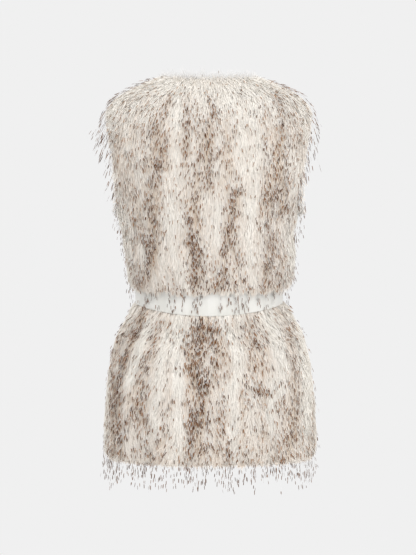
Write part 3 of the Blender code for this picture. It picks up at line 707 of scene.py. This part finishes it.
def lay(kind, rng, turns, heights):
    """Hairs of one kind over a zone: the root, length, swing, tuft, grain and streak of each."""
    hair = HAIR[kind]
    turn, height = scatter(rng, hair.density, turns, heights)
    centre, numbers = nearest_tuft(turn, height)
    count = len(turn)
    grain = ripple(turn * NOMINAL_QUARTER, height, *COARSE_GRAIN)
    grain = grain + 0.9 * ripple(turn * NOMINAL_QUARTER, height, *FINE_GRAIN)
    flow = ripple(centre[:, 0] * NOMINAL_QUARTER, centre[:, 1], *FLOW)
    distance = hair.length * (1.0 + hair.vary * rng.uniform(-1.0, 1.0, count)) * (0.88 + 0.24 * numbers[:, 0])
    below_belt = (height < BELT_CENTRE) * near_top(height, BELT_CENTRE - BELT_HALF - 0.050, 0.035)
    near_neck = near_top(height, -0.050, 0.040)
    distance = distance * (1.0 - np.maximum(below_belt, near_neck) * rng.uniform(0.0, 0.80, count))
    swing = np.radians(9.0 * flow + 7.0 * (numbers[:, 1] - 0.5) + hair.fan * rng.normal(0.0, 1.0, count))
    # A hair takes its colour from the streak that it ends in
    reach = distance * hair.shown
    scales = read_form(turn, height)[:, 6:8]
    shown_turn = turn + reach * np.sin(swing) / scales[:, 0]
    shown_height = height - reach * np.cos(swing) / scales[:, 1]
    dark = streaks(shown_turn, shown_height) - nape(turn, height)
    if kind != "guard":
        over_armhole = share_of(shown_turn) > armhole_edge(shown_height)
        distance = distance * np.where(over_armhole, OVER_ARMHOLE, 1.0)
    # Dense hair ends at the hem and at the lip over the belt
    bodice = height > BELT_CENTRE
    uneven = np.where(bodice, 0.014 * (numbers[:, 1] - 0.60), 0.009 * (numbers[:, 1] - 0.35))
    end = np.where(bodice, lip_height(turn) + LIP_RAISE, HEM + HEM_RAISE) - uneven
    end = end + rng.normal(0.0, 0.003, count)
    return SimpleNamespace(
        turn=turn, height=height, distance=distance, room=height - end, swing=swing, centre=centre,
        numbers=numbers, grain=grain, dark=dark, bodice=bodice, below_belt=below_belt,
        near_neck=near_neck, top=near_top(height, -0.100, 0.040),
    )


def thin_guards(rng, h):
    """Guard hairs grow where streaks are dark, fewer on the flanks and where dense hair ends."""
    base, lean = np.where(h.bodice, *GUARD_CHANCES)
    flank = near_side(h.turn, 0.72, 0.20) * (1.0 - h.top)
    chance = np.clip(base + 0.07 * h.grain + lean * h.dark, 0.05, 1.0) * (1.0 - 0.75 * flank)
    chance = chance * (1.0 + h.below_belt + h.near_neck)
    chance = chance * np.where(h.distance > h.room, KEPT_PAST_END, 1.0)
    kept = rng.random(len(chance)) < chance
    return SimpleNamespace(**{key: values[kept] for key, values in vars(h).items()})


def ground_dark(h):
    """The streaks as the dense hair shows them: paler near the top and at the sides, as painted light that
    lifts the shade falling among the strands on the shoulders and flanks.
    """
    dark = np.where(h.dark < 0.0, np.where(h.bodice, 1.0, 1.9) * h.dark, h.dark)
    # Painted light: the hair is made paler over the shoulders and down the flanks, where shade falls among
    # the strands
    return dark - 0.70 * near_top(h.height, -0.085, 0.050) - 0.85 * near_side(h.turn, 0.70, 0.20)


def stand(kind, rng, h, t, path_turn, path_height):
    """How far off the form each point of a hair is, from its root up through the body of the pile."""
    hair = HAIR[kind]
    body = hair.body * (0.91 + 0.18 * h.numbers[:, 3:4])
    at_neck = near_top(h.height[:, None], NECK_EDGE - 0.030, 0.020)
    root = hair.root + (0.8 * body - hair.root) * at_neck
    out = root + (body - root) * smooth(t / 0.5) + (hair.tip - hair.body) * t**2
    lifted = rng.normal(0.0, 0.0012, len(h.turn)) + (0.0035 * h.top if kind == "guard" else 0.0)
    out = (out + lifted[:, None] * t) * loft(path_height) * lean_side(path_turn, path_height)
    least = over_belt(path_turn) + 0.0015 * rng.random((len(h.turn), 1))
    hanging = h.bodice[:, None] & (path_height < BELT_CENTRE + BELT_HALF + 0.006)
    out = np.where(hanging, np.maximum(out, least), out)
    behind = ~h.bodice[:, None] & (path_height > BELT_CENTRE - BELT_HALF - 0.0005)
    return np.where(behind, np.minimum(out, BEHIND_BELT), out)


def hair_tone(kind, rng, h):
    """Where on the colour ramps each hair reads: 0 is white, 0.7 brown, guard hairs lie past 0.75."""
    base, lean, spread = HAIR[kind].tone
    chance = rng.random(len(h.turn))
    tone = base + lean * np.clip(h.dark, -2.2, 1.3)
    if kind == "guard":
        return np.clip(tone + spread * chance, GUARD_TONE + 0.01, 0.99)
    tone = tone + 0.06 * h.grain + 0.11 * (h.numbers[:, 2] - 0.5) + spread * (chance**1.6 - 0.35)
    return np.clip(tone, 0.01, 0.66)


def grow(kind, rng, turns, heights):
    """All hairs of one kind over a zone of the cloth."""
    hair = HAIR[kind]
    guard = kind == "guard"
    h = lay(kind, rng, turns, heights)
    if guard:
        h = thin_guards(rng, h)
    else:
        h.dark = ground_dark(h)
    count = len(h.turn)
    shorter = rng.uniform(0.45 if guard else 1.0, 1.0, count)
    distance = np.where(h.distance > h.room, np.maximum(h.room * shorter, SHORTEST_HAIR), h.distance)
    t = stations_of(kind, distance, rng, np.where(h.bodice, 0.90, 1.0))
    path_turn, path_height = comb(h.turn, h.height, distance, h.swing, t)
    gathered = hair.pull * (1.0 - 0.7 * near_top(h.height, -0.100, 0.060))
    path_turn = path_turn + (h.centre[:, :1] - h.turn[:, None]) * gathered[:, None] * t**1.4
    path, normals = place(path_turn, path_height, stand(kind, rng, h, t, path_turn, path_height))
    path = path + rng.normal(0.0, 0.0011, (count, 1, 3)) * (t**2)[..., None]
    widths = hair.width * np.array(hair.taper)[None, :] * rng.uniform(0.75, 1.25, (count, 1))
    if guard:
        widths = widths * np.where(h.bodice, 0.92, 1.0)[:, None]
    shoulder = near_top(h.height, -0.100, 0.060) * smooth((np.abs(path[:, 0, 0]) - 0.09) / 0.05)
    edge_on = np.maximum(near_side(h.turn, 0.60, 0.30), shoulder)
    turned = np.radians(hair.twist) * (1.0 + 1.5 * edge_on) * rng.uniform(-1.0, 1.0, count)
    # Below the belt and at the neck edge the map starts half way, past the painted root shade
    root_v = 0.5 * np.maximum(h.below_belt > 0.0, h.height > NECK_EDGE - 0.025)
    return ribbons(path, normals, widths, turned, hair_tone(kind, rng, h), hair.levels, root_v)


def make_fur(name, turns, heights, seed, material):
    """The wool, the fine hair and the guard hairs of one zone, as one piece."""
    rng = np.random.default_rng(seed)
    piece = add_piece(name, *join([grow(kind, rng, turns, heights) for kind in HAIR]), material)
    return piece


# Loose hair at the edges


def edge_hair(rng, turn, height, out, aims, lengths, widths, tone, droop, root_v=0.01):
    """Free hairs from places on an edge: straight along an aim, drooping as t squared."""
    t = stations_of("guard", lengths, rng)[:, :, None]
    start, normal = place(turn, height, out)
    aims = aims / np.linalg.norm(aims, axis=-1, keepdims=True)
    path = start[:, None] + aims[:, None] * lengths[:, None, None] * t
    path = path + DOWN * (droop * lengths)[:, None, None] * t**2
    path = path + rng.normal(0.0, 0.0010, (len(turn), 1, 3)) * t**2
    normals = np.repeat(normal[:, None], t.shape[1], axis=1)
    turned = np.radians(60.0) * rng.uniform(-1.0, 1.0, len(turn))
    return ribbons(path, normals, widths[:, None] * EDGE_TAPER, turned, tone, HAIR["guard"].levels, root_v)


def loose_guards(rng, turn, height, out, aims, lengths, droop=0.0):
    """Dark tipped hairs from places on an edge."""
    widths = rng.uniform(*GUARD_WIDTHS, len(turn))
    tone = np.clip(0.84 + 0.14 * rng.random(len(turn)), GUARD_TONE + 0.01, 0.99)
    return edge_hair(rng, turn, height, out, aims, lengths, widths, tone, droop)


def string_turns(rng, strings):
    """Turns of strings of hair all round the vest, unevenly spaced."""
    return 4.0 * (np.arange(strings) + rng.uniform(-0.4, 0.4, strings)) / strings


def make_hem_hair(material):
    """Dark tipped hairs that hang past the hem in loose strings."""
    rng = np.random.default_rng(201)
    turn = string_turns(rng, HEM_STRINGS)
    turn = turn[rng.random(HEM_STRINGS) < 1.0 - 0.55 * near_side(turn, 0.70, 0.2)]
    reach = np.repeat(rng.uniform(0.45, 1.0, len(turn)), HAIRS_A_HEM_STRING)
    turn = np.repeat(turn, HAIRS_A_HEM_STRING)
    turn = turn + rng.normal(0.0, 0.004, len(turn))
    height = HEM + rng.uniform(0.002, 0.030, len(turn))
    ends = HEM - 0.003 - 0.060 * reach * rng.random(len(turn))
    out = PILE * rng.uniform(0.45, 0.95, len(turn))
    aims = rng.normal(0.0, 0.06, (len(turn), 3)) * (1.0, 1.0, 0.0) + DOWN
    aims += read_form(turn, height)[:, 3:6] * rng.uniform(-0.02, 0.10, (len(turn), 1))
    parts = loose_guards(rng, turn, height, out, aims, height - ends)
    piece = add_piece("hem_guard_hair", *parts, material)
    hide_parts("hem_hair_back", "hem_hair_left", "hem_hair_right")
    return piece


def make_waist_hair(material):
    """Sparse dark tipped hairs that hang from the bodice over the belt."""
    rng = np.random.default_rng(202)
    turn = string_turns(rng, WAIST_STRINGS)
    streaked = streaks(turn, lip_height(turn) + 0.012)
    chance = np.clip(0.30 + 0.6 * streaked, 0.1, 0.9) * (1.0 - 0.6 * near_side(turn, 0.65, 0.2))
    turn = np.repeat(turn[rng.random(WAIST_STRINGS) < chance], HAIRS_A_WAIST_STRING)
    turn = turn + rng.normal(0.0, 0.007, len(turn))
    lip = lip_height(turn)
    height = lip + rng.uniform(0.003, 0.022, len(turn))
    ends = np.maximum(lip - 0.036 * rng.random(len(turn)), BELT_CENTRE - BELT_HALF - 0.004)
    out = over_belt(turn) + rng.uniform(0.0008, 0.0050, len(turn))
    form = read_form(turn, height)
    aims = rng.normal(0.0, 0.06, (len(turn), 3)) * (1.0, 1.0, 0.0) + DOWN
    inward = np.minimum(0.0, (aims * form[:, 3:6]).sum(axis=1) - 0.02)
    aims -= form[:, 3:6] * inward[:, None]
    parts = loose_guards(rng, turn, height, out, aims, height - ends)
    piece = add_piece("waist_guard_hair", *parts, material)
    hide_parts("waist_hair_back", "waist_hair_left", "waist_hair_right")
    return piece


def armhole_ring(rng, side, count, lowest, inset):
    """Places round one armhole's oval: turn, height, the way out of the form and into the opening."""
    middle, half_height = (SHOULDER_TIP + UNDERARM) / 2, (SHOULDER_TIP - UNDERARM) / 2
    around = rng.uniform(0.0, 2 * math.pi, count)
    height = middle + half_height * np.cos(around) * 0.997
    around, height = around[height > lowest], height[height > lowest]
    edge = armhole_edge(height) - inset * rng.uniform(-0.06, 1.0, len(height))
    turn = np.where(np.sin(around) > 0, edge, 2.0 - edge) * side
    way = np.stack([0.0 * around, -np.sin(around), -0.6 * np.cos(around)], axis=1)
    return turn, height, read_form(turn, height)[:, 3:6], way


def armhole_fluff(rng, side):
    """Short pale hair in the edge of an armhole, leaning into the opening and down."""
    turn, height, normal, way = armhole_ring(rng, side, 3400, -1.0, 0.05)
    count = len(turn)
    aims = 0.50 * way + 0.30 * normal + 0.05 * side * ACROSS + 0.70 * DOWN
    aims = aims + rng.normal(0.0, 0.16, (count, 3))
    out = PILE * rng.uniform(0.15, 0.80, count) * loft(height)
    lengths = rng.uniform(0.009, 0.017, count)
    tone = np.where(rng.random(count) < 0.5, PALE_TONE, rng.uniform(0.03, 0.20, count))
    widths = rng.uniform(0.0009, 0.0019, count)
    # The map starts half way, past the painted root shade
    return edge_hair(rng, turn, height, out, aims, lengths, widths, tone, 0.2, 0.5)


def armhole_guards(rng, side):
    """Long dark tipped hairs that stand off the edge, more upright on the wearer's right."""
    count, normal_share, outward, shortest = ARMHOLE_GUARDS[side]
    turn, height, normal, way = armhole_ring(rng, side, count, -0.195, 0.06)
    count = len(turn)
    aims = 0.10 * way + normal_share * normal + outward * side * ACROSS + 0.75 * DOWN
    aims = aims + rng.normal(0.0, 0.11, (count, 3))
    out = PILE * rng.uniform(0.35, 0.90, count) * loft(height)
    lengths = rng.uniform(shortest, 0.056, count) * np.where(height < -0.12, 0.62, 1.0)
    return loose_guards(rng, turn, height, out, aims, lengths, 0.40)


def flank_guards(rng, side):
    """Dark tipped hairs that hang down a flank, from the underarm to beside the belt."""
    count = 165
    turn = side * rng.uniform(0.70, 1.35, count)
    height = rng.uniform(-0.376, UNDERARM + 0.02, count)
    turn = np.where(share_of(turn) > armhole_edge(height), side, turn)
    aims = 0.09 * read_form(turn, height)[:, 3:6] + DOWN + rng.normal(0.0, 0.07, (count, 3))
    out = PILE * rng.uniform(0.75, 1.05, count)
    return loose_guards(rng, turn, height, out, aims, rng.uniform(0.028, 0.045, count))


def make_armhole_hair(material):
    """Hair round both armholes and down the flanks below them."""
    rng = np.random.default_rng(203)
    parts = [grown(rng, side) for side in (1, -1) for grown in (armhole_fluff, armhole_guards, flank_guards)]
    piece = add_piece("armhole_guard_hair", *join(parts), material)
    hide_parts("armhole_hair_left", "armhole_hair_right")
    return piece


def neck_set(rng, count, deep, highest, wide, tones):
    """Hairs from a band below the neck edge. Those of a shallow band stand up, the rest fall outwards."""
    turn = rng.uniform(-1.64, 1.64, count)
    depth = deep * rng.random(count)
    height = NECK_EDGE - depth
    x = np.abs(read_form(turn, height)[:, 0])
    outside = (half_of(turn) > 0) | (x > neck_half_width(height))
    turn, height, depth, x = turn[outside], height[outside], depth[outside], x[outside]
    count = len(turn)
    standing = deep < 0.010
    low = 1.0 - 0.45 * smooth((x - 0.050) / 0.035)
    upward = low * (1.1 - 0.7 * depth / deep) if standing else 0.25 - 1.15 * depth / deep
    normal_share, stray, out_share, droop = (0.25, 0.30, 0.9, 0.1) if standing else (0.45, 0.18, 0.8, 0.7)
    aims = normal_share * read_form(turn, height)[:, 3:6] - upward[:, None] * DOWN
    aims = aims + rng.normal(0.0, stray, (count, 3))
    out = rng.uniform(0.001, highest, count) * out_share
    uneven = 0.75 + 0.35 * ripple(turn, 0.0 * turn, 91, 0.20, 1.0) if standing else 1.0
    lengths = rng.uniform(0.008, 0.023, count) * low * uneven
    widths = rng.uniform(*wide, count)
    tone = rng.uniform(*tones, count)
    # The map starts past half way, clear of the painted root shade
    return edge_hair(rng, turn, height, out, aims, lengths, widths, tone, droop, 0.55)


def make_neck_hair(material):
    """Pale soft fluff that stands up round the neck edge, lower towards the shoulders."""
    rng = np.random.default_rng(204)
    parts = [neck_set(rng, *row) for row in NECK_SETS]
    piece = add_piece("neck_fluff", *join(parts), material)
    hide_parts("neck_hair")
    return piece


# Belt

BELT_STEPS = 300
BELT_CORNER = 0.0009
# In turns: both ends of the lap, where its outer end climbs and how far, and where it narrows
LAP_START = 1.8125
LAP_END = 6.303
LAP_CLIMB = 5.59375
LAP_CLIMBS_FOR = 0.15625
LAP_NARROWS = 6.2125


def make_belt(material):
    """The belt as a rounded profile carried round the form, lapped at the front.

    Its edges are quarter circles, its face bows out by a fraction of a millimetre, and shallow
    creases sin(turn) run across it. Past the lap it narrows as a half ellipse.
    """
    turn = np.linspace(LAP_START, LAP_END, BELT_STEPS)
    climb = smooth((turn - LAP_CLIMB) / LAP_CLIMBS_FOR)
    tip = np.clip((turn - LAP_NARROWS) / (LAP_END - LAP_NARROWS), 0.0, 1.0)
    tall = BELT_HALF * np.sqrt(np.maximum(1.0 - tip**2.4, 0.0004))
    crease = 0.00080 * ripple(turn, 0.0 * turn, 61, 0.22, 1.0)
    crease = crease + 0.00016 * ripple(turn, 0.0 * turn, 62, 0.07, 1.0)
    reach = BELT_INSIDE + LAP_STEP * climb + crease
    a = np.linspace(0.0, math.pi / 2, 5)
    face = np.linspace(-0.9, 0.9, 10)
    rise = BELT_THICKNESS - BELT_CORNER + BELT_CORNER * np.sin(a)
    bowed = BELT_THICKNESS + 0.00030 * (1.0 - face**2)
    rounding = BELT_CORNER * (1.0 - np.cos(a))
    outs = np.concatenate([[0.0], rise, bowed, rise[::-1], [0.0]])
    edge = np.concatenate([np.full(6, -1.0), face, np.full(6, 1.0)])
    inner = [BELT_CORNER * 0.4]
    inset = np.concatenate([inner, rounding, 0.0 * face, rounding[::-1], inner])
    base, normal = place(turn, np.full_like(turn, BELT_CENTRE), 0.0 * turn)
    rings = base[:, None] + normal[:, None] * (reach[:, None] + outs[None, :])[..., None]
    rings[..., 2] = base[:, None, 2] + tall[:, None] * edge[None, :] - np.sign(edge)[None, :] * inset[None, :]
    steps, ring = rings.shape[:2]
    index = np.arange(steps * ring).reshape(steps, ring)
    after = np.roll(index, -1, axis=1)
    quads = np.stack([index[:-1], index[1:], after[1:], after[:-1]], axis=-1).reshape(-1, 4)
    ends = []
    for row, flip in ((index[0], False), (index[-1], True)):
        for k in range(ring // 2 - 1):
            quad = [row[k], row[k + 1], row[ring - 2 - k], row[ring - 1 - k]]
            ends.append(quad[::-1] if flip else quad)
    faces = np.concatenate([quads, np.array(ends)])[:, ::-1]
    piece = add_piece("waist_belt_leather", rings.reshape(-1, 3), faces, None, material)
    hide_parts("waist_belt")


# Materials


def wire(tree, node, values):
    """Sets sockets of a node to constants, or links them to other sockets."""
    for key, value in values.items():
        if isinstance(value, bpy.types.NodeSocket):
            tree.links.new(value, node.inputs[key])
        else:
            node.inputs[key].default_value = value


def new_node(tree, kind, values, **settings):
    """A node of a kind with its settings and the values of its sockets."""
    node = tree.nodes.new("ShaderNode" + kind)
    for name, setting in settings.items():
        setattr(node, name, setting)
    wire(tree, node, values)
    return node


def new_material(name, roughness, specular=0.3):
    """A material with its node tree and its shader."""
    material = bpy.data.materials.new(name)
    material.use_nodes = True
    tree = material.node_tree
    shader = tree.nodes["Principled BSDF"]
    wire(tree, shader, {"Roughness": roughness, "Specular IOR Level": specular})
    return material, tree, shader


def ramp(tree, value, stops):
    """The colour that a value picks from stops."""
    node = new_node(tree, "ValToRGB", {"Fac": value})
    elements = node.color_ramp.elements
    while len(elements) < len(stops):
        elements.new(0.5)
    for element, (position, colour) in zip(elements, stops):
        element.position = position
        element.color = colour
    return node.outputs["Color"]


def mix(tree, blend, factor, first, second):
    """A colour mix; factor, first and second are sockets or constants."""
    values = {"Factor": factor, 6: first, 7: second}
    return new_node(tree, "Mix", values, data_type="RGBA", blend_type=blend).outputs[2]


def own_place(tree):
    """A place in the piece's own coordinates."""
    return new_node(tree, "TexCoord", {}).outputs["Object"]


def object_noise(tree, scale, detail=3.0, stretch=(1.0, 1.0, 1.0)):
    """Noise in the piece's own coordinates, drawn out along the axes that are scaled down."""
    mapping = new_node(tree, "Mapping", {"Vector": own_place(tree), "Scale": stretch})
    values = {"Vector": mapping.outputs["Vector"], "Scale": scale, "Detail": detail}
    return new_node(tree, "TexNoise", values).outputs["Fac"]


def bump(tree, shader, height, strength, distance):
    """Relief in the shading only."""
    node = new_node(tree, "Bump", {"Strength": strength, "Distance": distance, "Height": height})
    wire(tree, shader, {"Normal": node.outputs["Normal"]})


def fur_material():
    """Hair coloured along the pile map: u picks the hair's shade, v runs from root to tip, and towards the
    root the colour is darkened as painted shade of the gaps between hairs.
    """
    material, tree, shader = new_material("brown_tipped_fur", 0.75, 0.04)
    pile = new_node(tree, "UVMap", {}, uv_map="pile")
    split = new_node(tree, "SeparateXYZ", {0: pile.outputs["UV"]})
    shade, along = split.outputs["X"], split.outputs["Y"]
    body = ramp(tree, shade, (
        (0.00, paint(242, 238, 231)), (0.16, paint(235, 227, 218)), (0.32, paint(226, 212, 196)),
        (0.48, paint(203, 182, 159)), (0.66, paint(166, 138, 113)), (0.72, paint(228, 227, 226)),
    ))
    tips = ramp(tree, shade, (
        (0.74, paint(166, 129, 99)), (0.87, paint(117, 82, 58)), (1.00, paint(63, 42, 31)),
    ))
    is_guard = new_node(tree, "Math", {0: shade, 1: 0.735}, operation="GREATER_THAN")
    reach = {"Value": along, "From Min": 0.79, "From Max": 0.87}
    near_tip = new_node(tree, "MapRange", reach, interpolation_type="SMOOTHSTEP")
    both = {0: is_guard.outputs[0], 1: near_tip.outputs["Result"]}
    dark_tip = new_node(tree, "Math", both, operation="MULTIPLY")
    # Painted shade: the hair darkens and warms towards its roots, standing in for the shade deep between the
    # hairs
    root = ramp(tree, along, ((0.0, (0.84, 0.80, 0.75, 1.0)), (0.5, (1.0, 1.0, 1.0, 1.0))))
    root_shaded = mix(tree, "MULTIPLY", 1.0, body, root)
    wire(tree, shader, {"Base Color": mix(tree, "MIX", dark_tip.outputs[0], root_shaded, tips)})
    return material


def wool_ground_material():
    """Short wool at the roots of the pile: cream and tan flecks drawn out down the cloth, a little darker
    than the hair above: partly the wool's own tan, partly painted shade of the gaps between the roots.
    """
    material, tree, shader = new_material("wool_ground", 0.85, 0.15)
    noise = object_noise(tree, 160.0, 4.0, (1.0, 1.0, 0.22))
    # Partly painted shade: the ground is kept darker than the hair, standing in for the shade in the gaps
    # where it shows
    stops = ((0.30, paint(204, 190, 174)), (0.55, paint(224, 213, 200)), (0.75, paint(234, 227, 217)))
    wire(tree, shader, {"Base Color": ramp(tree, noise, stops)})
    bump(tree, shader, noise, 0.6, 0.001)
    return material


def backing_material():
    """The knitted backing inside: fine rows of loops, off-white."""
    material, tree, shader = new_material("knitted_backing", 0.80, 0.2)
    loops = {"Vector": own_place(tree), "Scale": 260.0, "Distortion": 1.5, "Detail": 2.0}
    rows = new_node(tree, "TexWave", loops, bands_direction="Z")
    stops = ((0.3, paint(214, 205, 192)), (0.7, paint(228, 220, 208)))
    wire(tree, shader, {"Base Color": ramp(tree, object_noise(tree, 45.0), stops)})
    bump(tree, shader, rows.outputs["Fac"], 0.35, 0.0004)
    return material


def leather_material():
    """Smooth off-white leather: a fine pebbled grain, slight patches of shade and gloss."""
    material, tree, shader = new_material("off_white_leather", 0.42, 0.45)
    grain = new_node(tree, "TexVoronoi", {"Vector": own_place(tree), "Scale": 1400.0})
    patches = object_noise(tree, 30.0)
    stops = ((0.30, paint(213, 212, 206)), (0.70, paint(226, 225, 221)))
    shine = new_node(tree, "MapRange", {"Value": patches, "To Min": 0.36, "To Max": 0.50})
    wire(tree, shader, {"Base Color": ramp(tree, patches, stops), "Roughness": shine.outputs["Result"]})
    bump(tree, shader, grain.outputs["Distance"], 0.12, 0.0002)
    return material


# Stage


def add_light(name, place_at, aim, size, energy):
    """A square lamp at a place, turned to its aim."""
    light = bpy.data.lights.new(name, "AREA")
    light.shape = "SQUARE"
    light.size = size
    light.energy = energy
    lamp = bpy.data.objects.new(name, light)
    lamp.location = place_at
    lamp.rotation_euler = aim_rotation(np.array(aim) - np.array(place_at))
    bpy.context.scene.collection.objects.link(lamp)


def aim_rotation(direction):
    """Euler angles that turn a lamp's or camera's -Z along a direction, its top upwards."""
    flat = math.hypot(direction[0], direction[1])
    return (math.atan2(flat, -direction[2]), 0.0, math.atan2(-direction[0], direction[1]))


def make_stage():
    """The camera, the pale studio round it, two lamps and a floor."""
    scene = bpy.context.scene
    camera = bpy.data.cameras.new("camera")
    camera.sensor_fit = "VERTICAL"
    camera.sensor_height = SENSOR
    camera.lens = SENSOR * CAMERA_DISTANCE / FRAME_HEIGHT
    camera.clip_end = 50.0
    holder = bpy.data.objects.new("camera", camera)
    back = np.array([0.0, math.cos(CAMERA_ELEVATION), math.sin(CAMERA_ELEVATION)]) * CAMERA_DISTANCE
    holder.location = np.array(CAMERA_AIM) + back
    holder.rotation_euler = aim_rotation(-back)
    scene.collection.objects.link(holder)
    scene.camera = holder

    world = bpy.data.worlds.new("studio")
    world.use_nodes = True
    tree = world.node_tree
    wire(tree, tree.nodes["Background"], {"Color": paint(240, 240, 240), "Strength": 1.0})
    scene.world = world
    scene.view_settings.view_transform = "Standard"
    scene.view_settings.look = "None"

    add_light("key", (-0.9, 3.0, 1.9), (0.0, 0.0, -0.35), 4.0, 100.0)
    add_light("front_key", (0.9, -3.0, 1.9), (0.0, 0.0, -0.35), 4.0, 100.0)

    floor_mesh = bpy.data.meshes.new("floor")
    a = np.linspace(0.0, 2 * math.pi, 65)[:-1]
    rim = np.stack([1.7 * np.cos(a), 1.7 * np.sin(a), np.full(64, -1.40)], axis=1)
    floor_mesh.from_pydata(rim.tolist(), [], [list(range(64))])
    floor = bpy.data.objects.new("floor", floor_mesh)
    pale, tree, shader = new_material("pale_floor", 0.8)
    wire(tree, shader, {"Base Color": paint(238, 238, 238)})
    floor_mesh.materials.append(pale)
    scene.collection.objects.link(floor)


def main():
    """The stage, the fur, the loose hair, the three cloth panels and the belt."""
    make_stage()
    fur = fur_material()
    ground = wool_ground_material()
    backing = backing_material()
    furs = {}
    for own, turns in FUR_TURNS:
        for part, heights in FUR_HEIGHTS:
            furs[own + part] = make_fur(own + part, turns, heights, 100 + len(furs), fur)
    edges = [make_hem_hair(fur), make_waist_hair(fur), make_armhole_hair(fur), make_neck_hair(fur)]
    for name, half, side, columns, node, cut in PANELS:
        own = name.split("_")[0]
        make_cloth(name, half, side, columns, (ground, backing), node)
    make_belt(leather_material())


main()
